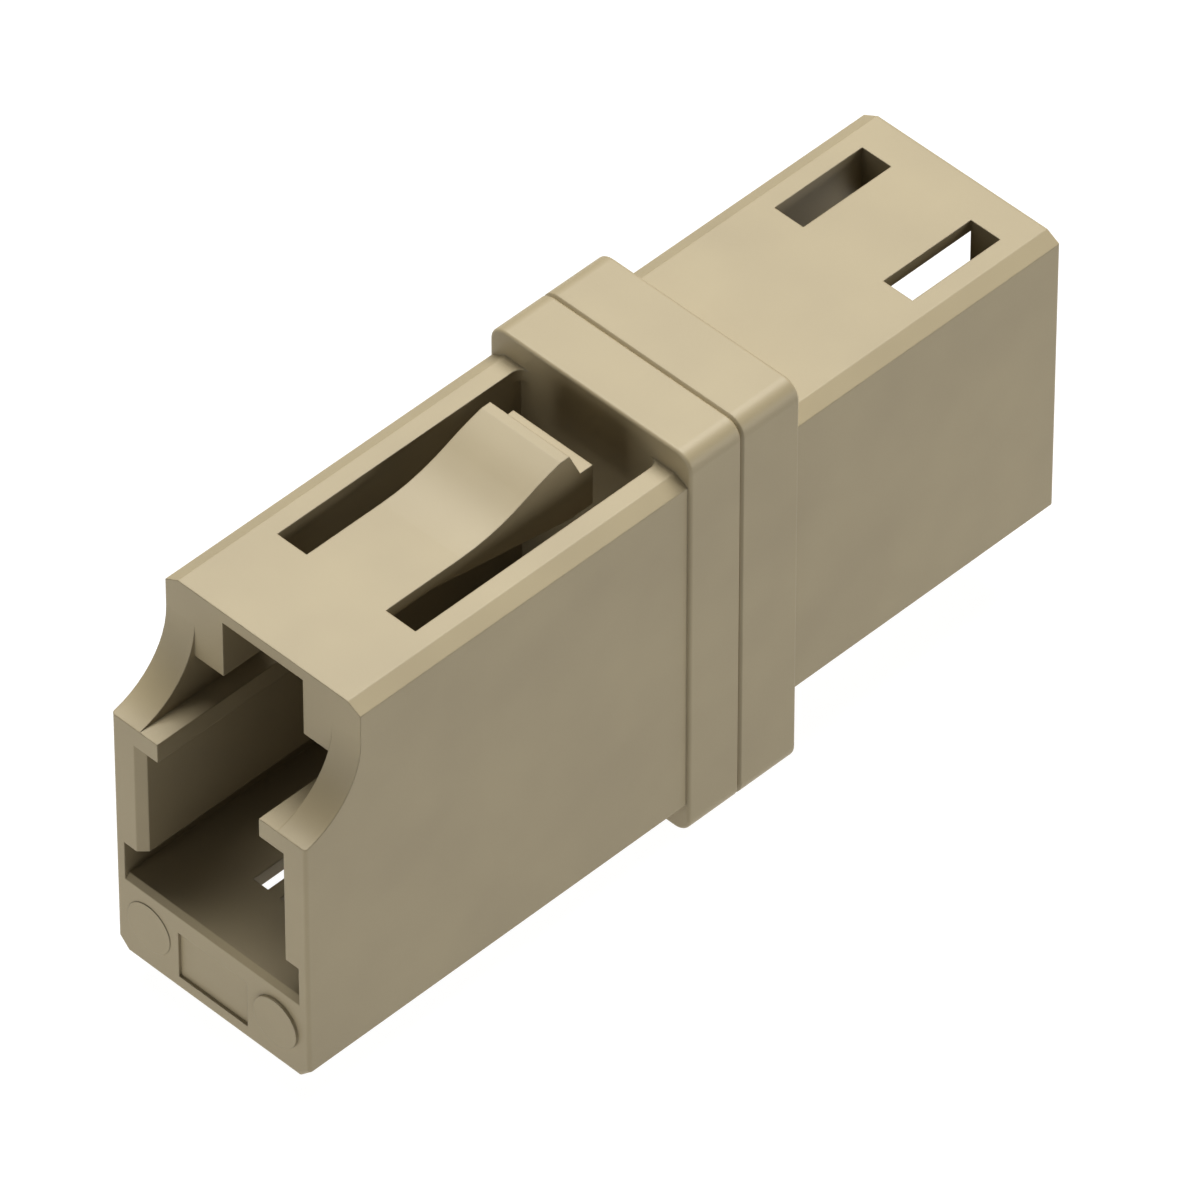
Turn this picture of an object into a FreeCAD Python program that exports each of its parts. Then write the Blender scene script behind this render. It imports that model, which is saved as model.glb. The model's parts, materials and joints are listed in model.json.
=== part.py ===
import FreeCAD, Part
import math
import os

import Sketcher

# LC simplex fibre adapter: two moulded half housings that meet at a flange, a sprung panel latch
# on the front half, and a slit ceramic sleeve carried by two flanged holders between the halves.
#
# X runs across the adapter, Y along the fibre (front socket at -Y, rear socket at +Y), Z up.
# The origin is the middle of the sleeve: on the ferrule axis, in the plane where the halves meet.
# Housing sketches measure height from the underside of the front half, and each housing is then
# lowered by axis_height. Sizes are in millimetres.

DIMENSIONS = [
    # Outside of the two halves
    ("housing_width", 6.5, "width of both halves"),
    ("edge_chamfer", 0.33, "chamfer along the lower outer edges"),
    ("top_bevel_width", 0.42, "width of the bevel along the upper outer edges"),
    ("top_bevel_height", 0.23, "height of that bevel"),
    ("front_length", 14.33, "seam to the front mouth"),
    ("front_height", 11.1, "height of the front half"),
    ("rear_length", 10.98, "seam to the rear mouth"),
    ("rear_bottom", 1.37, "level of the rear half's underside"),
    ("rear_height", 9.21, "height of the rear half"),
    ("end_round", 0.1, "rounding of the outer edges at the two mouths"),
    # Flange
    ("flange_front", 1.72, "the front half's share of the flange"),
    ("flange_rear", 1.94, "the rear half's share of the flange"),
    ("flange_side", 0.1, "stand-out of the flange at the sides"),
    ("flange_rise", 0.73, "stand-out of the flange above the front half"),
    ("flange_drop", 0.69, "stand-out of the flange below the front half"),
    ("flange_corner", 0.5, "corner radius of the flange"),
    ("flange_edge", 0.09, "rounding of the flange's outer rim"),
    ("seam_bevel", 0.07, "bevel on each side of the welded seam"),
    # Plug socket, the same in both halves
    ("axis_height", 4.86, "ferrule axis above the front half's underside"),
    ("socket_width", 4.6, "between the side rails"),
    ("socket_floor", 2.3, "ferrule axis to the socket floor"),
    ("undercut_wall", 0.3, "outer wall left beside the grooves along the floor"),
    ("undercut_height", 1.09, "height of the grooves beside the floor"),
    ("lip_gap", 3.41, "between the two lips over the plug body"),
    ("lip_level", 2.32, "ferrule axis to the underside of the lips"),
    ("lip_thickness", 0.58, "thickness of the lips"),
    ("shoulder_level", 4.14, "ferrule axis to the underside of the latch shoulders"),
    ("notch_width", 2.68, "gap between the latch shoulders"),
    ("top_wall", 0.35, "wall above the socket"),
    ("catch_distance", 9.86, "seam to the faces that hold the plug's latch"),
    ("rail_lead", 0.22, "lead-in chamfer on the rails at the mouths"),
    ("floor_lead", 0.14, "lead-in chamfer on the floors at the mouths"),
    # Scalloped upper corners of the front mouth
    ("scallop_radius", 2.28, "radius of the scallop"),
    ("scallop_setback", 1.84, "how far the top edge stands back"),
    # Openings in the top
    ("opening_end", 9.76, "seam to the root of the panel latch, where its opening ends"),
    ("opening_corner", 0.3, "radius of the opening's corners at the flange"),
    ("window_inner", 2.67, "between the two plug latch windows of the rear half"),
    ("window_length", 3.01, "length of those windows"),
    # Panel latch
    ("latch_width", 2.64, "width of the tongue"),
    ("latch_ramp_start", 7.3, "seam to the start of the ramp"),
    ("latch_ramp_middle", 5.15, "seam to the middle of the ramp"),
    ("latch_tip", 3.72, "seam to the edge of the crest"),
    ("latch_crest", 0.28, "length of the level crest"),
    ("latch_foot", 3.36, "seam to the foot of the catch"),
    ("latch_end", 2.95, "seam to the free end"),
    ("latch_middle_rise", 0.45, "rise of the ramp at its middle"),
    ("latch_tip_rise", 0.85, "rise of the crest"),
    ("latch_shelf", 0.06, "rise of the shelf at the free end"),
    ("latch_depth", 1.2, "underside of the free end below the top face"),
    ("latch_bend", 1.5, "length of the thin flexing root"),
    # Underside of the front half
    ("core_side_wall", 0.65, "outer wall left beside the moulding pockets"),
    ("core_wall", 1.05, "wall between the mouth and the first pocket"),
    ("core_length", 5.0, "length of the first pocket"),
    ("core_floor", 0.41, "floor left above the first pocket"),
    ("core_rib", 0.8, "rib between the two pockets"),
    ("core_second_floor", 1.0, "floor left above the second pocket"),
    ("core_end_wall", 0.9, "wall between the second pocket and the flange"),
    ("floor_slot_width", 0.51, "width of the two slots in the floor"),
    ("floor_slot_rib", 0.4, "rib between the two slots"),
    ("floor_slot_start", 2.04, "front mouth to the slots"),
    ("floor_slot_length", 2.4, "length of the slots"),
    # Marks of the mould on the front face
    ("pin_mark_radius", 0.73, "radius of the ejector marks"),
    ("pin_mark_spacing", 4.34, "between the two ejector marks"),
    ("pin_mark_level", 1.32, "height of the ejector marks"),
    ("mark_depth", 0.08, "stand-out of the right ejector mark and depth of the tag"),
    ("faint_mark_depth", 0.02, "stand-out of the left ejector mark, which is almost flush"),
    ("tag_width", 2.33, "width of the bare tag"),
    ("tag_bottom", 0.41, "height of the tag's lower edge"),
    ("tag_height", 1.47, "height of the tag"),
    # Sleeve and its two holders
    ("sleeve_bore", 1.25, "bore of the split sleeve, the ferrule's diameter"),
    ("sleeve_wall", 0.18, "wall of the split sleeve"),
    ("sleeve_length", 6.8, "length of the split sleeve"),
    ("sleeve_slit", 0.25, "width of its slit"),
    ("sleeve_edge", 0.05, "chamfer on its ends"),
    ("sleeve_play", 0.05, "clearance round and beyond the sleeve"),
    ("holder_wall", 0.38, "wall of the holder's tube"),
    ("holder_lip", 0.35, "thickness of the lip at the tube's mouth"),
    ("holder_entry", 1.4, "narrow end of the funnel through that lip"),
    ("holder_lead", 0.22, "how much wider the funnel is at its mouth, all round"),
    ("holder_flange", 4.3, "side of the holder's square flange"),
    ("holder_thickness", 0.9, "thickness of that flange"),
    ("holder_corner", 0.5, "corner radius of that flange"),
    ("holder_play", 0.05, "clearance round the holder in the housing"),
    # Pegs that line the halves up before they are welded
    ("peg_diameter", 0.9, "diameter of the pegs"),
    ("peg_length", 0.8, "length of the pegs"),
    ("peg_play", 0.05, "clearance round the pegs"),
    ("peg_spacing", 4.2, "distance across between the two pegs"),
    ("peg_inset", 1.1, "pegs to the top and bottom of the front half"),
]

# Levels and distances worked out from the driving sizes
TOP = "dim.front_height"
REAR_TOP = "(dim.rear_bottom + dim.rear_height)"
FLOOR = "(dim.axis_height - dim.socket_floor)"
UNDERCUT_TOP = f"({FLOOR} + dim.undercut_height)"
LIP = "(dim.axis_height + dim.lip_level)"
LIP_TOP = f"({LIP} + dim.lip_thickness)"
SHOULDER = "(dim.axis_height + dim.shoulder_level)"
GROOVE = "(dim.housing_width / 2 - dim.undercut_wall)"
SLEEVE_RADIUS = "(dim.sleeve_bore / 2 + dim.sleeve_wall)"
HOLDER_BORE = f"({SLEEVE_RADIUS} + dim.sleeve_play)"
HOLDER_RADIUS = f"({HOLDER_BORE} + dim.holder_wall)"
MARGIN = "1"
TOUCH = 1e-5
SIGN = {"front": 1, "rear": -1}


def make_sheet(doc):
    """Write the driving sizes into a spreadsheet: name, value and what it measures."""
    sheet = doc.addObject("Spreadsheet::Sheet", "dim")
    for row, (name, value, note) in enumerate(DIMENSIONS, start=1):
        sheet.set(f"A{row}", name)
        sheet.set(f"B{row}", str(value))
        sheet.set(f"C{row}", note)
        sheet.setAlias(f"B{row}", name)
    doc.recompute()


def make_body(doc, name):
    """Start a sub-part: a body whose label names its file."""
    body = doc.addObject("PartDesign::Body", name)
    body.Label = name
    return body


def sketch_on(body, name, role, offset="0"):
    """Attach a sketch to one of the body's own origin planes, offset along the plane's normal."""
    sketch = body.newObject("Sketcher::SketchObject", name)
    plane = [feature for feature in body.Origin.OriginFeatures if feature.Role == role][0]
    sketch.AttachmentSupport = [(plane, "")]
    sketch.MapMode = "FlatFace"
    sketch.setExpression("AttachmentOffset.Base.z", offset)
    return sketch


def value_of(sketch, text):
    """Return the present value of an expression of the sheet's sizes."""
    return float(sketch.evalExpression(text))


def pin_point(sketch, edge, end, point):
    """Tie one end of an edge to a place given by two expressions."""
    for kind, text in zip(("DistanceX", "DistanceY"), point):
        rule = Sketcher.Constraint(kind, -1, 1, edge, end, value_of(sketch, text))
        index = sketch.addConstraint(rule)
        sketch.setExpression(f"Constraints[{index}]", text)


def arc_between(start, end, radius):
    """Arc between two points, drawn anticlockwise: a positive radius bulges to the left of the
    way from start to end, which makes the end its first point, and a negative one to the right."""
    along = end - start
    left = FreeCAD.Vector(-along.y, along.x, 0).normalize()
    reach = math.sqrt(radius ** 2 - along.Length ** 2 / 4)
    centre = (start + end) * 0.5 - left * math.copysign(reach, radius)
    first, last = (end, start) if radius > 0 else (start, end)
    angles = [math.atan2(point.y - centre.y, point.x - centre.x) for point in (first, last)]
    around = Part.Circle(centre, FreeCAD.Vector(0, 0, 1), abs(radius))
    return Part.ArcOfCircle(around, *angles)


def outline(sketch, points, arcs=None):
    """Close an outline through points given by expressions. Its sides are straight, but arcs
    gives some of them, by number, a radius as an expression, with its sign as for arc_between."""
    arcs = arcs or {}
    places = [FreeCAD.Vector(value_of(sketch, x), value_of(sketch, y), 0) for x, y in points]
    first = sketch.GeometryCount
    total = len(places)
    ends = []
    for side, start in enumerate(places):
        end = places[(side + 1) % total]
        radius = value_of(sketch, arcs[side]) if side in arcs else 0
        edge = arc_between(start, end, radius) if radius else Part.LineSegment(start, end)
        sketch.addGeometry(edge, False)
        ends.append((2, 1) if radius > 0 else (1, 2))
    for side in range(total):
        following = (side + 1) % total
        link = ("Coincident", first + side, ends[side][1], first + following, ends[following][0])
        sketch.addConstraint(Sketcher.Constraint(*link))
        pin_point(sketch, first + side, ends[side][0], points[side])
    for side, text in arcs.items():
        size = abs(value_of(sketch, text))
        index = sketch.addConstraint(Sketcher.Constraint("Radius", first + side, size))
        sketch.setExpression(f"Constraints[{index}]", f"abs({text})")


def rectangle(sketch, left, right, bottom, top):
    """Draw a rectangle between four expressions."""
    outline(sketch, [(left, bottom), (right, bottom), (right, top), (left, top)])


def circle(sketch, centre, radius):
    """Draw a circle whose centre and radius are expressions."""
    place = FreeCAD.Vector(value_of(sketch, centre[0]), value_of(sketch, centre[1]), 0)
    size = value_of(sketch, radius)
    edge = sketch.addGeometry(Part.Circle(place, FreeCAD.Vector(0, 0, 1), size), False)
    pin_point(sketch, edge, 3, centre)
    index = sketch.addConstraint(Sketcher.Constraint("Radius", edge, size))
    sketch.setExpression(f"Constraints[{index}]", radius)


def extrude(body, kind, name, sketch, length, reverse=False):
    """Add a Pad or a Pocket of the given length."""
    feature = body.newObject(f"PartDesign::{kind}", name)
    feature.Profile = (sketch, [""])
    feature.Reversed = reverse
    feature.setExpression("Length", length)
    body.Document.recompute()
    return feature


def cut_across(body, name, sketch):
    """Cut a sketch through the whole width, both ways from its plane."""
    feature = body.newObject("PartDesign::Pocket", name)
    feature.Profile = (sketch, [""])
    feature.SideType = "Symmetric"
    feature.setExpression("Length", "2 * dim.housing_width")
    body.Document.recompute()
    return feature


def dress(body, kind, name, edges, size):
    """Add a Fillet or a Chamfer to the edges of the body's last feature that a test picks."""
    base = body.Tip
    names = [f"Edge{number}" for number, edge in enumerate(base.Shape.Edges, 1) if edges(edge)]
    feature = body.newObject(f"PartDesign::{kind}", name)
    feature.Base = (base, names)
    feature.setExpression("Radius" if kind == "Fillet" else "Size", size)
    body.Document.recompute()
    return feature


def lies_on(edge, axis, value):
    """Tell whether an edge lies in the plane where the given coordinate has this value."""
    box = edge.BoundBox
    low = getattr(box, f"{axis}Min")
    high = getattr(box, f"{axis}Max")
    return abs(low - value) < TOUCH and abs(high - value) < TOUCH


def both(text):
    """Return an expression's negative and positive, for what lies on both sides of the middle."""
    return f"-({text})", f"({text})"


def place_housing(body):
    """Lower a housing so that the ferrule axis passes through the origin."""
    body.setExpression("Placement.Base.z", "-dim.axis_height")


def chamfered_section(sketch, bottom, top):
    """Draw the outside of a half: a rectangle with chamfers below and flatter bevels above."""
    left, right = both("dim.housing_width / 2")
    cut = "dim.edge_chamfer"
    across = "dim.top_bevel_width"
    down = "dim.top_bevel_height"
    outline(sketch, [
        (f"{left} + {cut}", bottom),
        (f"{right} - {cut}", bottom),
        (right, f"{bottom} + {cut}"),
        (right, f"{top} - {down}"),
        (f"{right} - {across}", top),
        (f"{left} + {across}", top),
        (left, f"{top} - {down}"),
        (left, f"{bottom} + {cut}"),
    ])


def outer_form(body, end, length, bottom, top):
    """Make a half's share of the flange with rounded corners, and the barrel in front of it."""
    rear = end == "rear"
    sign = SIGN[end]
    share = f"dim.flange_{end}"
    flange = sketch_on(body, f"{end}_flange_section", "XZ_Plane")
    left, right = both("dim.housing_width / 2 + dim.flange_side")
    rectangle(flange, left, right, "-dim.flange_drop", f"{TOP} + dim.flange_rise")
    extrude(body, "Pad", f"{end}_flange", flange, share, rear)
    dress(body, "Fillet", f"{end}_flange_corners",
          lambda edge: edge.BoundBox.YLength > edge.BoundBox.DiagonalLength - TOUCH,
          "dim.flange_corner")
    face = -sign * value_of(body, share)
    dress(body, "Fillet", f"{end}_flange_rim", lambda edge: lies_on(edge, "Y", face), "dim.flange_edge")
    dress(body, "Chamfer", f"{end}_seam_edge", lambda edge: lies_on(edge, "Y", 0), "dim.seam_bevel")
    section = sketch_on(body, f"{end}_barrel_section", "XZ_Plane")
    chamfered_section(section, bottom, top)
    extrude(body, "Pad", f"{end}_barrel", section, length, rear)
    mouth = -sign * value_of(body, length)
    dress(body, "Fillet", f"{end}_mouth_round", lambda edge: lies_on(edge, "Y", mouth), "dim.end_round")


def socket(body, end, length, top):
    """Cut the plug socket: grooves beside the floor, rails, lips, shoulders and the room behind
    the shoulders where the plug's latch springs up."""
    front = end == "front"
    ceiling = f"({top} - dim.top_wall)"
    share = f"dim.flange_{end}"
    deep = share if front else f"-{share}"
    section = sketch_on(body, f"{end}_socket_section", "XZ_Plane", deep)
    right_side = [
        (GROOVE, FLOOR),
        (GROOVE, UNDERCUT_TOP),
        ("dim.socket_width / 2", UNDERCUT_TOP),
        ("dim.socket_width / 2", LIP),
        ("dim.lip_gap / 2", LIP),
        ("dim.lip_gap / 2", LIP_TOP),
        ("dim.socket_width / 2", LIP_TOP),
        ("dim.socket_width / 2", SHOULDER),
        ("dim.notch_width / 2", SHOULDER),
        ("dim.notch_width / 2", ceiling),
    ]
    left_side = [(f"-{x}", z) for x, z in reversed(right_side)]
    outline(section, right_side + left_side)
    extrude(body, "Pocket", f"{end}_socket", section, f"{length} - {share} + {MARGIN}", front)
    room = sketch_on(body, f"{end}_latch_room_section", "XZ_Plane", deep)
    left, right = both("dim.socket_width / 2")
    rectangle(room, left, right, LIP_TOP, ceiling)
    extrude(body, "Pocket", f"{end}_latch_room", room, f"dim.catch_distance - {share}", front)


def seam_side(body, end):
    """Cut the square seat of the sleeve holder and the hole that its tube passes through."""
    rear = end == "rear"
    seat = sketch_on(body, f"{end}_seat_section", "XZ_Plane")
    left, right = both("dim.holder_flange / 2 + dim.holder_play")
    rectangle(seat, left, right, f"dim.axis_height + {left}", f"dim.axis_height + {right}")
    extrude(body, "Pocket", f"{end}_seat", seat, "dim.holder_thickness", not rear)
    hole = sketch_on(body, f"{end}_tube_hole_section", "XZ_Plane")
    circle(hole, ("0", "dim.axis_height"), f"{HOLDER_RADIUS} + dim.holder_play")
    extrude(body, "Pocket", f"{end}_tube_hole", hole, f"dim.flange_{end} + {MARGIN}", not rear)


def peg_circles(sketch, radius):
    """Draw the two pegs' circles, one high on the left and one low on the right."""
    circle(sketch, ("-dim.peg_spacing / 2", f"{TOP} - dim.peg_inset"), radius)
    circle(sketch, ("dim.peg_spacing / 2", "dim.peg_inset"), radius)


def scallop(body):
    """Cut the upper corner of the front mouth back along an arc that starts level with the lips
    and ends upright, and the shoulders inside it upright all the way down."""
    mouth = "-dim.front_length"
    lip = f"({mouth} + dim.scallop_setback)"
    sweep = "sqrt(dim.scallop_radius ^ 2 - (dim.scallop_radius - dim.scallop_setback) ^ 2)"
    outside = f"({mouth} - {MARGIN})"
    above = f"({TOP} + {MARGIN})"
    section = sketch_on(body, "scallop_section", "YZ_Plane")
    outline(section, [
        (mouth, LIP_TOP),
        (lip, f"{LIP_TOP} + {sweep}"),
        (lip, above),
        (outside, above),
        (outside, LIP_TOP),
    ], {0: "-dim.scallop_radius"})
    cut_across(body, "scallop", section)
    face = sketch_on(body, "shoulder_face_section", "XZ_Plane", f"-{lip}")
    left, right = both("dim.socket_width / 2")
    rectangle(face, left, right, LIP_TOP, above)
    extrude(body, "Pocket", "shoulder_faces", face, f"dim.scallop_setback + {MARGIN}", True)


def floor_details(body):
    """Hollow the thick floor from below with two pockets, and cut the two slots through it."""
    left, right = both("dim.housing_width / 2 - dim.core_side_wall")
    first = "(-dim.front_length + dim.core_wall)"
    first_end = f"({first} + dim.core_length)"
    second = f"({first_end} + dim.core_rib)"
    second_end = "(-dim.flange_front - dim.core_end_wall)"
    core = sketch_on(body, "first_core_section", "XY_Plane")
    rectangle(core, left, right, first, first_end)
    extrude(body, "Pocket", "first_core", core, f"{FLOOR} - dim.core_floor", True)
    core = sketch_on(body, "second_core_section", "XY_Plane")
    rectangle(core, left, right, second, second_end)
    extrude(body, "Pocket", "second_core", core, f"{FLOOR} - dim.core_second_floor", True)
    slots = sketch_on(body, "floor_slot_section", "XY_Plane")
    inner = "dim.floor_slot_rib / 2"
    outer = f"{inner} + dim.floor_slot_width"
    near = "(-dim.front_length + dim.floor_slot_start)"
    far = f"({near} + dim.floor_slot_length)"
    rectangle(slots, f"-({outer})", f"-({inner})", near, far)
    rectangle(slots, inner, outer, near, far)
    extrude(body, "Pocket", "floor_slots", slots, f"{FLOOR} + dim.undercut_height", True)


def mould_marks(body):
    """Raise the two ejector marks on the front face and sink the bare tag between them."""
    left, right = both("dim.pin_mark_spacing / 2")
    for side, place, depth in (("left", left, "dim.faint_mark_depth"), ("right", right, "dim.mark_depth")):
        mark = sketch_on(body, f"{side}_pin_mark_section", "XZ_Plane", "dim.front_length")
        circle(mark, (place, "dim.pin_mark_level"), "dim.pin_mark_radius")
        extrude(body, "Pad", f"{side}_pin_mark", mark, depth)
    tag = sketch_on(body, "tag_section", "XZ_Plane", "dim.front_length")
    left, right = both("dim.tag_width / 2")
    rectangle(tag, left, right, "dim.tag_bottom", "dim.tag_bottom + dim.tag_height")
    extrude(body, "Pocket", "tag", tag, "dim.mark_depth")


def mouth_chamfers(body, end, length):
    """Bevel the socket's rails and its floor where a plug enters."""
    mouth = -SIGN[end] * value_of(body, length)
    rail = value_of(body, "dim.socket_width / 2")
    floor = value_of(body, FLOOR)
    lip = value_of(body, LIP)

    def rail_edge(edge):
        on_a_rail = lies_on(edge, "X", rail) or lies_on(edge, "X", -rail)
        return lies_on(edge, "Y", mouth) and on_a_rail and edge.BoundBox.ZMax < lip + TOUCH

    dress(body, "Chamfer", f"{end}_rail_lead", rail_edge, "dim.rail_lead")
    dress(body, "Chamfer", f"{end}_floor_lead",
          lambda edge: lies_on(edge, "Y", mouth) and lies_on(edge, "Z", floor), "dim.floor_lead")


def latch_opening(body):
    """Open the top round the panel latch, as wide as the socket, from its root to the flange."""
    left, right = both("dim.socket_width / 2")
    corner = "dim.opening_corner"
    root = "-dim.opening_end"
    far = "-dim.flange_front"
    opening = sketch_on(body, "latch_opening_section", "XY_Plane", TOP)
    outline(opening, [
        (left, root),
        (right, root),
        (right, f"{far} - {corner}"),
        (f"{right} - {corner}", far),
        (f"{left} + {corner}", far),
        (left, f"{far} - {corner}"),
    ], {2: f"-{corner}", 4: f"-{corner}"})
    extrude(body, "Pocket", "latch_opening", opening, f"{TOP} - {SHOULDER}")


def front_housing(doc):
    """Moulded half with the scalloped mouth, the opening for the panel latch and two pegs."""
    body = make_body(doc, "front_housing")
    outer_form(body, "front", "dim.front_length", "0", TOP)
    socket(body, "front", "dim.front_length", TOP)
    mouth_chamfers(body, "front", "dim.front_length")
    scallop(body)
    latch_opening(body)
    floor_details(body)
    mould_marks(body)
    seam_side(body, "front")
    pegs = sketch_on(body, "peg_section", "XZ_Plane")
    peg_circles(pegs, "dim.peg_diameter / 2")
    extrude(body, "Pad", "pegs", pegs, "dim.peg_length", True)
    place_housing(body)
    return body


def rear_housing(doc):
    """Moulded half with the two windows that hold the plug's latch and two peg holes."""
    body = make_body(doc, "rear_housing")
    outer_form(body, "rear", "dim.rear_length", "dim.rear_bottom", REAR_TOP)
    socket(body, "rear", "dim.rear_length", REAR_TOP)
    mouth_chamfers(body, "rear", "dim.rear_length")
    windows = sketch_on(body, "window_section", "XY_Plane", REAR_TOP)
    near = "dim.catch_distance - dim.window_length"
    inner = "dim.window_inner / 2"
    outer = "dim.socket_width / 2"
    rectangle(windows, inner, outer, near, "dim.catch_distance")
    rectangle(windows, f"-{outer}", f"-{inner}", near, "dim.catch_distance")
    extrude(body, "Pocket", "windows", windows, f"{REAR_TOP} - {SHOULDER}")
    seam_side(body, "rear")
    holes = sketch_on(body, "peg_hole_section", "XZ_Plane")
    peg_circles(holes, "dim.peg_diameter / 2 + dim.peg_play")
    extrude(body, "Pocket", "peg_holes", holes, "dim.peg_length + dim.peg_play")
    place_housing(body)
    return body


def panel_latch(doc):
    """Tongue that springs behind the panel: a thin root, a ramp of two arcs that join in one
    slope, a level crest, a catch face that leans back and a shelf at its free end."""
    body = make_body(doc, "panel_latch")
    root = "-dim.opening_end"
    ramp = "(dim.latch_ramp_start - dim.latch_ramp_middle)"
    crest = "(dim.latch_ramp_middle - dim.latch_tip - dim.latch_crest)"
    rise = "(dim.latch_tip_rise - dim.latch_middle_rise)"
    lower_radius = f"({ramp} ^ 2 + dim.latch_middle_rise ^ 2) / (2 * dim.latch_middle_rise)"
    slope = f"2 * atan(dim.latch_middle_rise / {ramp})"
    chord = f"sqrt({crest} ^ 2 + {rise} ^ 2)"
    upper_radius = f"{chord} / (2 * sin({slope} - atan({rise} / {crest})))"
    section = sketch_on(body, "latch_profile", "YZ_Plane")
    outline(section, [
        (root, f"{TOP} - dim.top_wall"),
        (f"{root} + dim.latch_bend", f"{TOP} - dim.top_wall"),
        ("-dim.latch_tip", f"{TOP} - dim.latch_depth"),
        ("-dim.latch_end", f"{TOP} - dim.latch_depth"),
        ("-dim.latch_end", f"{TOP} + dim.latch_shelf"),
        ("-dim.latch_foot", f"{TOP} + dim.latch_shelf"),
        ("-dim.latch_tip", f"{TOP} + dim.latch_tip_rise"),
        ("-(dim.latch_tip + dim.latch_crest)", f"{TOP} + dim.latch_tip_rise"),
        ("-dim.latch_ramp_middle", f"{TOP} + dim.latch_middle_rise"),
        ("-dim.latch_ramp_start", TOP),
        (root, TOP),
    ], {7: f"-({upper_radius})", 8: lower_radius})
    tongue = body.newObject("PartDesign::Pad", "tongue")
    tongue.Profile = (section, [""])
    tongue.SideType = "Symmetric"
    tongue.setExpression("Length", "dim.latch_width")
    doc.recompute()
    place_housing(body)
    return body


def split_sleeve(doc):
    """Slit ceramic tube that grips both ferrules."""
    body = make_body(doc, "split_sleeve")
    half = "dim.sleeve_length / 2"
    section = sketch_on(body, "sleeve_section", "XZ_Plane", f"-{half}")
    circle(section, ("0", "0"), SLEEVE_RADIUS)
    circle(section, ("0", "0"), "dim.sleeve_bore / 2")
    extrude(body, "Pad", "tube", section, "dim.sleeve_length")
    slit = sketch_on(body, "slit_section", "XY_Plane")
    left, right = both("dim.sleeve_slit / 2")
    rectangle(slit, left, right, f"-{half} - {MARGIN}", f"{half} + {MARGIN}")
    extrude(body, "Pocket", "slit", slit, "dim.sleeve_bore", True)
    reach = value_of(body, half)
    outer = value_of(body, SLEEVE_RADIUS)

    def outer_rim(edge):
        round_edge = isinstance(edge.Curve, Part.Circle) and abs(edge.Curve.Radius - outer) < TOUCH
        return round_edge and (lies_on(edge, "Y", reach) or lies_on(edge, "Y", -reach))

    dress(body, "Chamfer", "sleeve_ends", outer_rim, "dim.sleeve_edge")
    return body


def sleeve_holder(doc, end):
    """Tube with a square flange on the seam: its bore carries half of the sleeve, and a funnel
    through the lip at its end guides the ferrule in."""
    body = make_body(doc, f"sleeve_holder_{end}")
    flange = sketch_on(body, f"{end}_holder_flange_section", "XZ_Plane")
    left, right = both("dim.holder_flange / 2")
    rectangle(flange, left, right, left, right)
    extrude(body, "Pad", f"{end}_holder_flange", flange, "dim.holder_thickness")
    dress(body, "Fillet", f"{end}_holder_corners",
          lambda edge: edge.BoundBox.YLength > edge.BoundBox.DiagonalLength - TOUCH,
          "dim.holder_corner")
    inside = "(dim.sleeve_length / 2 + dim.sleeve_play)"
    outside = f"({inside} + dim.holder_lip)"
    tube = sketch_on(body, f"{end}_tube_section", "XZ_Plane")
    circle(tube, ("0", "0"), HOLDER_RADIUS)
    extrude(body, "Pad", f"{end}_tube", tube, outside)
    hollow = sketch_on(body, f"{end}_hollow_profile", "YZ_Plane")
    outline(hollow, [
        (MARGIN, "0"),
        (MARGIN, HOLDER_BORE),
        (f"-{inside}", HOLDER_BORE),
        (f"-{inside}", "dim.holder_entry / 2"),
        (f"-{outside}", "dim.holder_entry / 2 + dim.holder_lead"),
        (f"-{outside} - {MARGIN}", "dim.holder_entry / 2 + dim.holder_lead"),
        (f"-{outside} - {MARGIN}", "0"),
    ])
    bore = body.newObject("PartDesign::Groove", f"{end}_hollow")
    bore.Profile = (hollow, [""])
    bore.ReferenceAxis = (hollow, ["H_Axis"])
    bore.Angle = 360
    doc.recompute()
    if end == "rear":
        body.Placement = FreeCAD.Placement(FreeCAD.Vector(), FreeCAD.Rotation(FreeCAD.Vector(0, 0, 1), 180))
    return body


def check(doc, bodies):
    """Stop if any feature failed or any sub-part is not a valid solid."""
    for item in doc.Objects:
        failed = {"Invalid", "Error"} & set(item.State)
        if failed:
            raise RuntimeError(f"{item.Name}: {sorted(failed)}")
    for body in bodies:
        if body.Shape.isNull() or not body.Shape.isValid() or len(body.Shape.Solids) != 1:
            raise RuntimeError(f"{body.Label} is not one valid solid")


def build():
    """Build the adapter and write each sub-part to its own file."""
    doc = FreeCAD.newDocument("lc_adapter")
    make_sheet(doc)
    bodies = [
        front_housing(doc),
        rear_housing(doc),
        panel_latch(doc),
        split_sleeve(doc),
        sleeve_holder(doc, "front"),
        sleeve_holder(doc, "rear"),
    ]
    doc.recompute()
    check(doc, bodies)
    os.makedirs("parts", exist_ok=True)
    for body in bodies:
        body.Shape.exportStep(os.path.join("parts", f"{body.Label}.step"))
        print(f"{body.Label}: {body.Shape.Volume:.3f} mm3")


build()
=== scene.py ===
import json
import math

import bpy
import numpy as np
from mathutils import Matrix, Vector


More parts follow.
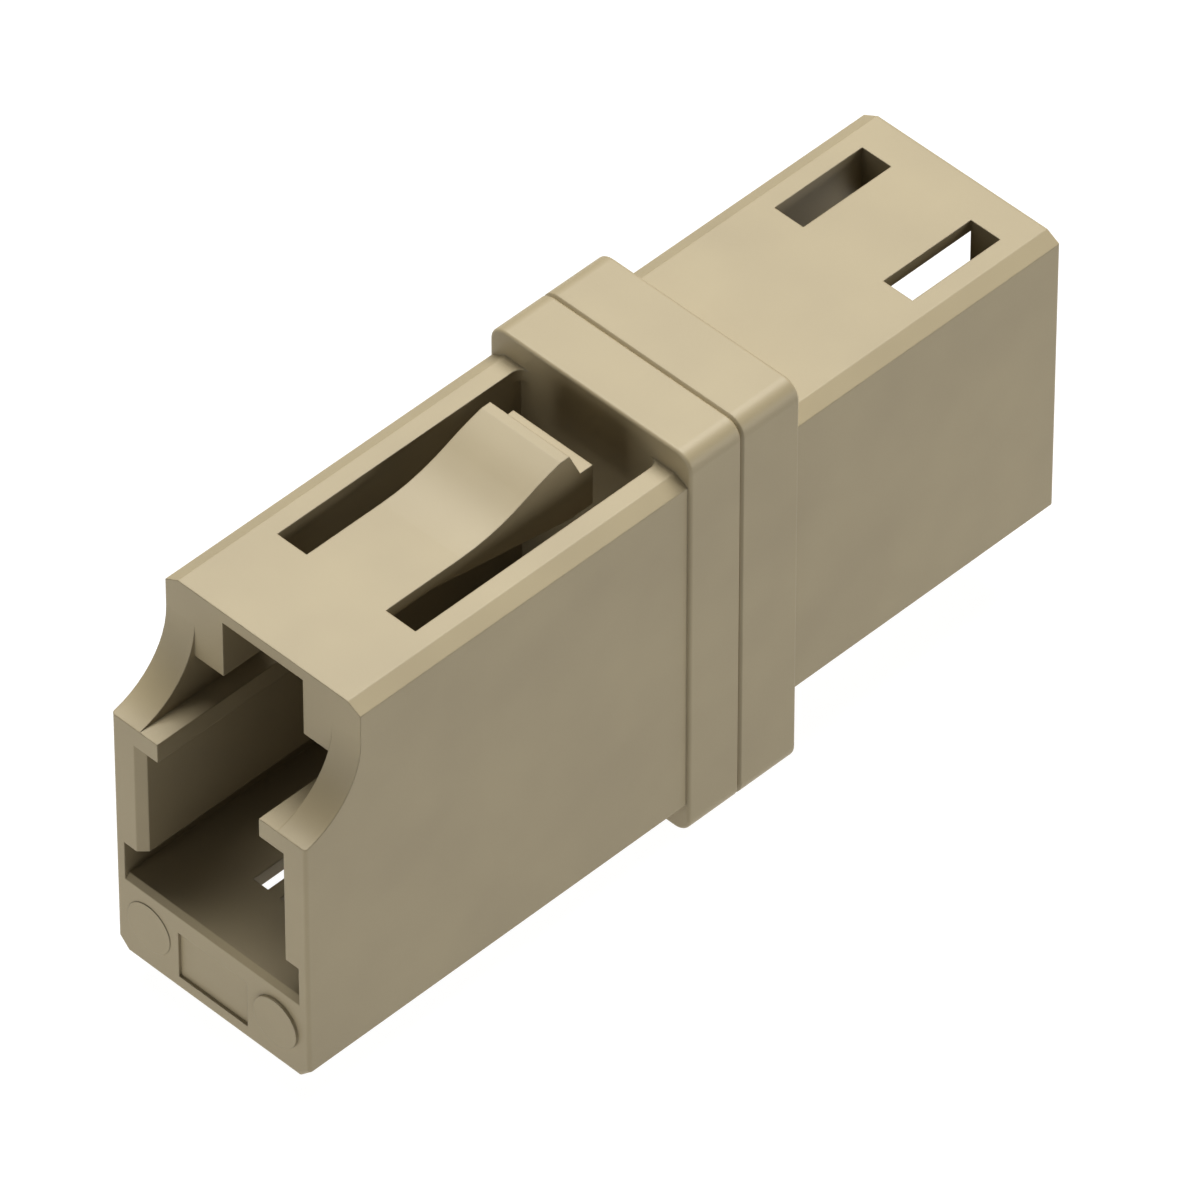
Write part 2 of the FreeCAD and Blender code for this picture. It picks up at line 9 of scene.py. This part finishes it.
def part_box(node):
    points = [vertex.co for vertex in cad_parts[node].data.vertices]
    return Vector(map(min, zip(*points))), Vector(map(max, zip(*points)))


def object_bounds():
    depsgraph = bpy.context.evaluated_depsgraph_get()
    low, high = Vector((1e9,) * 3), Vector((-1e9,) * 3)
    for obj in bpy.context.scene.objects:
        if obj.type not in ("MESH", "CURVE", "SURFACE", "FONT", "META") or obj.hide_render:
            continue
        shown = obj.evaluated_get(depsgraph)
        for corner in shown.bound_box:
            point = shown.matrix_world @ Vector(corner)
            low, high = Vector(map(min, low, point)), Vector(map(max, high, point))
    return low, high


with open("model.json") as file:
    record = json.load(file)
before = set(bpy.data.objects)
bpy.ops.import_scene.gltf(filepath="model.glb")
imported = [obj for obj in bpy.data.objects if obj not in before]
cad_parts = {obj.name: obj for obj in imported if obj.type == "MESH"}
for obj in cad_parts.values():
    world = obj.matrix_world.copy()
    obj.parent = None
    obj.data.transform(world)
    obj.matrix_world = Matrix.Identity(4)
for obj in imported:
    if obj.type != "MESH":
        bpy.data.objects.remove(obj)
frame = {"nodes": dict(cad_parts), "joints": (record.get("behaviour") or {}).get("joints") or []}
cad_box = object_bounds()


# Moulded halves and panel latch
# Both halves are injection moulded in beige PBT, a polyester, the tongue in one piece with the
# front half. The tool is spark eroded, which leaves a fine matt skin, and its corners are never
# quite sharp.

MM = 0.001
PBT_BEIGE = "#A89C80"
PBT_SHADE = "#A3977C"
PBT_ROUGHNESS = 0.5
POLYESTER_IOR = 1.55
GLOSS_SPREAD = 0.06
FLOW_MARK_MM = 3.0
FLOW_SPAN = (0.3, 0.7)
# The real grain is about half as coarse. It is drawn coarser, so that it shows.
SKIN_GRAIN_MM = 0.06
SKIN_DEPTH_MM = 0.004
SKIN_STRENGTH = 0.25
MOULD_CORNER_MM = 0.05
ROOT_MARGIN_MM = 0.01


def linear(hex_colour):
    """Turn an sRGB hex colour into linear values: each channel c becomes c/12.92 when it is small,
    and otherwise ((c + 0.055) / 1.055) to the power 2.4."""
    channels = np.array([int(hex_colour[i:i + 2], 16) for i in (1, 3, 5)]) / 255
    low = channels / 12.92
    high = ((channels + 0.055) / 1.055) ** 2.4
    return (*np.where(channels <= 0.04045, low, high), 1.0)


def new_material(name):
    """Make an empty node material and return it."""
    material = bpy.data.materials.new(name)
    material.use_nodes = True
    material.node_tree.nodes.clear()
    return material


def add_node(material, kind, links=None, values=None, **settings):
    """Add a node, set its properties, fill its sockets with values, and feed its sockets from the
    outputs of other nodes."""
    node = material.node_tree.nodes.new(kind)
    for name, setting in settings.items():
        setattr(node, name, setting)
    for socket, value in (values or {}).items():
        node.inputs[socket].default_value = value
    for socket, source in (links or {}).items():
        material.node_tree.links.new(source, node.inputs[socket])
    return node


def corner_radius(material, place):
    """Radius of the softened corners: nothing where the tongue grows out of the front half, which
    is one piece of plastic there, and the mould's corner everywhere else. A point lies there when
    it is between the tongue's sides, close before or behind its root, and no lower than the root.
    Each test gives 1 or 0, and the three are multiplied."""
    root_x, root_y, root_z = frame["joints"][0]["pos_m"]
    half_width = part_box("panel_latch")[1][0] + ROOT_MARGIN_MM * MM
    reach = 2 * MOULD_CORNER_MM * MM
    axes = add_node(material, "ShaderNodeSeparateXYZ", {"Vector": place}).outputs
    tests = [
        add_node(material, "ShaderNodeMath", {0: axes[axis]}, {1: bound, 2: tolerance}, operation=operation)
        for axis, operation, bound, tolerance in (
            ("X", "COMPARE", root_x, half_width),
            ("Y", "COMPARE", root_y, reach),
            ("Z", "GREATER_THAN", root_z - reach, 0.0),
        )
    ]
    joined = tests[0].outputs["Value"]
    for test in tests[1:]:
        both = add_node(
            material, "ShaderNodeMath", {0: joined, 1: test.outputs["Value"]}, operation="MULTIPLY",
        )
        joined = both.outputs["Value"]
    radius = add_node(
        material, "ShaderNodeMapRange", {"Value": joined}, {"To Min": MOULD_CORNER_MM * MM, "To Max": 0.0},
    )
    return radius.outputs["Result"]


def moulded_plastic(name, light, dark, roughness):
    """Matt moulded plastic: slow flow marks in its colour, a fine grain in its gloss and height,
    and softened mould corners."""
    material = new_material(name)
    place = add_node(material, "ShaderNodeTexCoord").outputs["Object"]
    flow = add_node(
        material, "ShaderNodeTexNoise", {"Vector": place}, {"Scale": 1 / (FLOW_MARK_MM * MM), "Detail": 2.0},
    )
    tint = add_node(material, "ShaderNodeValToRGB", {"Fac": flow.outputs["Fac"]})
    for element, position, colour in zip(tint.color_ramp.elements, FLOW_SPAN, (dark, light)):
        element.position = position
        element.color = linear(colour)
    grain = add_node(
        material, "ShaderNodeTexNoise", {"Vector": place}, {"Scale": 1 / (SKIN_GRAIN_MM * MM), "Detail": 3.0},
    )
    gloss = add_node(
        material, "ShaderNodeMapRange", {"Value": grain.outputs["Fac"]},
        {"To Min": roughness - GLOSS_SPREAD, "To Max": roughness + GLOSS_SPREAD},
    )
    corner = add_node(material, "ShaderNodeBevel", {"Radius": corner_radius(material, place)}, samples=6)
    relief = add_node(
        material, "ShaderNodeBump",
        {"Height": grain.outputs["Fac"], "Normal": corner.outputs["Normal"]},
        {"Strength": SKIN_STRENGTH, "Distance": SKIN_DEPTH_MM * MM},
    )
    shader = add_node(
        material, "ShaderNodeBsdfPrincipled",
        {
            "Base Color": tint.outputs["Color"], "Roughness": gloss.outputs["Result"],
            "Normal": relief.outputs["Normal"],
        },
        {"IOR": POLYESTER_IOR},
    )
    add_node(material, "ShaderNodeOutputMaterial", {"Surface": shader.outputs["BSDF"]})
    return material


def dress(node, material):
    """Give a CAD node's object one material, in every slot."""
    item = frame["nodes"][node]
    item.data.materials.clear()
    item.data.materials.append(material)


pbt = moulded_plastic("moulded_pbt", PBT_BEIGE, PBT_SHADE, PBT_ROUGHNESS)
for housing_piece in ("front_housing", "rear_housing", "panel_latch"):
    dress(housing_piece, pbt)


# Sleeve holders
# Two flanged tubes moulded in the same family of polyester, trapped between the halves at the
# seam. Their skin is a little glossier, because their tool is polished for the sleeve.

HOLDER_BEIGE = "#9A8F75"
HOLDER_SHADE = "#948970"
HOLDER_ROUGHNESS = 0.38

holder_plastic = moulded_plastic("holder_plastic", HOLDER_BEIGE, HOLDER_SHADE, HOLDER_ROUGHNESS)
for holder in ("sleeve_holder_front", "sleeve_holder_rear"):
    dress(holder, holder_plastic)


# Split sleeve
# A slit tube of white zirconia ceramic, sintered and then ground round, which leaves very fine
# rings across its length and a soft sheen. The rings are drawn coarser than they are, to show.

ZIRCONIA_WHITE = "#EFEDE6"
ZIRCONIA_ROUGHNESS = 0.18
ZIRCONIA_IOR = 2.15
GRINDING_RING_MM = 0.02
RING_DEPTH_MM = 0.001
RING_STRENGTH = 0.1
RING_WAVINESS = 1.5

zirconia = new_material("ground_zirconia")
sleeve_place = add_node(zirconia, "ShaderNodeTexCoord").outputs["Object"]
rings = add_node(
    zirconia, "ShaderNodeTexWave", {"Vector": sleeve_place},
    {"Scale": 1 / (GRINDING_RING_MM * MM), "Distortion": RING_WAVINESS}, bands_direction="Y",
)
ring_relief = add_node(
    zirconia, "ShaderNodeBump", {"Height": rings.outputs["Fac"]},
    {"Strength": RING_STRENGTH, "Distance": RING_DEPTH_MM * MM},
)
ceramic_shader = add_node(
    zirconia, "ShaderNodeBsdfPrincipled", {"Normal": ring_relief.outputs["Normal"]},
    {"Base Color": linear(ZIRCONIA_WHITE), "Roughness": ZIRCONIA_ROUGHNESS, "IOR": ZIRCONIA_IOR},
)
add_node(zirconia, "ShaderNodeOutputMaterial", {"Surface": ceramic_shader.outputs["BSDF"]})
dress("split_sleeve", zirconia)


# Floor
# A sheet of opal acrylic under the adapter, a hair's breadth below the underside of its flange.
# Lamps below it light it evenly, so hardly a shadow is left round the adapter.

FLOOR_SIZE_MM = 600
FLOOR_GAP_MM = 0.015
ACRYLIC_GREY = "#505050"
ACRYLIC_ROUGHNESS = 0.9
ACRYLIC_GLOW = 0.97

floor_level = cad_box[0][2] - FLOOR_GAP_MM * MM
half = FLOOR_SIZE_MM / 2 * MM
corners = [(x, y, floor_level) for x, y in ((-half, -half), (half, -half), (half, half), (-half, half))]
floor_mesh = bpy.data.meshes.new("floor")
floor_mesh.from_pydata(corners, [], [(0, 1, 2, 3)])
floor = bpy.data.objects.new("floor", floor_mesh)
bpy.context.collection.objects.link(floor)
acrylic = new_material("lit_opal_acrylic")
acrylic_shader = add_node(
    acrylic, "ShaderNodeBsdfPrincipled", None,
    {
        "Base Color": linear(ACRYLIC_GREY), "Roughness": ACRYLIC_ROUGHNESS,
        "Emission Color": (1.0, 1.0, 1.0, 1.0), "Emission Strength": ACRYLIC_GLOW,
    },
)
add_node(acrylic, "ShaderNodeOutputMaterial", {"Surface": acrylic_shader.outputs["BSDF"]})
floor_mesh.materials.append(acrylic)


# Camera
# A long lens far away, looking down at 45 degrees on the front mouth, the right side and the top.
# It is aimed so that the middle of the seam's lower edge falls where the photograph has it.

PICTURE_PX = 1200
AZIMUTH = math.radians(44.93)
ELEVATION = math.radians(44.42)
PX_PER_MM = 41.40
DISTANCE_MM = 366.3
SENSOR_MM = 36.0
AIM_MM = (0.0, 0.0, -4.86)
AIM_PX = (640.4, 711.1)
NEAREST = 0.01
FURTHEST = 5.0

right = Vector((math.cos(AZIMUTH), math.sin(AZIMUTH), 0))
forward = Vector((
    -math.sin(AZIMUTH) * math.cos(ELEVATION),
    math.cos(AZIMUTH) * math.cos(ELEVATION),
    -math.sin(ELEVATION),
))
up = right.cross(forward)
centre = PICTURE_PX / 2
sideways = (AIM_PX[0] - centre) / PX_PER_MM
downwards = (AIM_PX[1] - centre) / PX_PER_MM
eye = (Vector(AIM_MM) - forward * DISTANCE_MM - right * sideways + up * downwards) * MM
camera_data = bpy.data.cameras.new("camera")
camera_data.sensor_width = SENSOR_MM
camera_data.lens = DISTANCE_MM * PX_PER_MM * SENSOR_MM / PICTURE_PX
camera_data.clip_start = NEAREST
camera_data.clip_end = FURTHEST
camera = bpy.data.objects.new("camera", camera_data)
bpy.context.collection.objects.link(camera)
turn = Matrix((right, up, -forward)).transposed().to_4x4()
camera.matrix_world = Matrix.Translation(eye) @ turn
bpy.context.scene.camera = camera


# Lights
# A large soft box hangs overhead, a little behind the adapter and to its left, and makes the top
# faces the brightest. Two weak ones lift the right side and the front, beside the glow of the
# floor. The picture is developed with a gamma of 0.8, which deepens the shade in the sockets.

SURROUNDINGS = 0.1
PICTURE_GAMMA = 0.8


def softbox(name, place_mm, size_mm, watts):
    """Hang a square soft box that faces the adapter."""
    data = bpy.data.lights.new(name, "AREA")
    data.shape = "SQUARE"
    data.size = size_mm * MM
    data.energy = watts
    lamp = bpy.data.objects.new(name, data)
    bpy.context.collection.objects.link(lamp)
    lamp.location = Vector(place_mm) * MM
    lamp.rotation_euler = (-Vector(place_mm)).to_track_quat("-Z", "Y").to_euler()


softbox("top_softbox", place_mm=(-60, 72, 250), size_mm=190, watts=1.13)
softbox("right_softbox", place_mm=(240, 160, 40), size_mm=120, watts=0.3)
softbox("front_softbox", place_mm=(-20, -285, 30), size_mm=110, watts=0.28)

world = bpy.data.worlds.new("studio")
world.use_nodes = True
background = world.node_tree.nodes["Background"].inputs
background["Color"].default_value = (1, 1, 1, 1)
background["Strength"].default_value = SURROUNDINGS
bpy.context.scene.world = world
bpy.context.scene.view_settings.view_transform = "Standard"
bpy.context.scene.view_settings.gamma = PICTURE_GAMMA
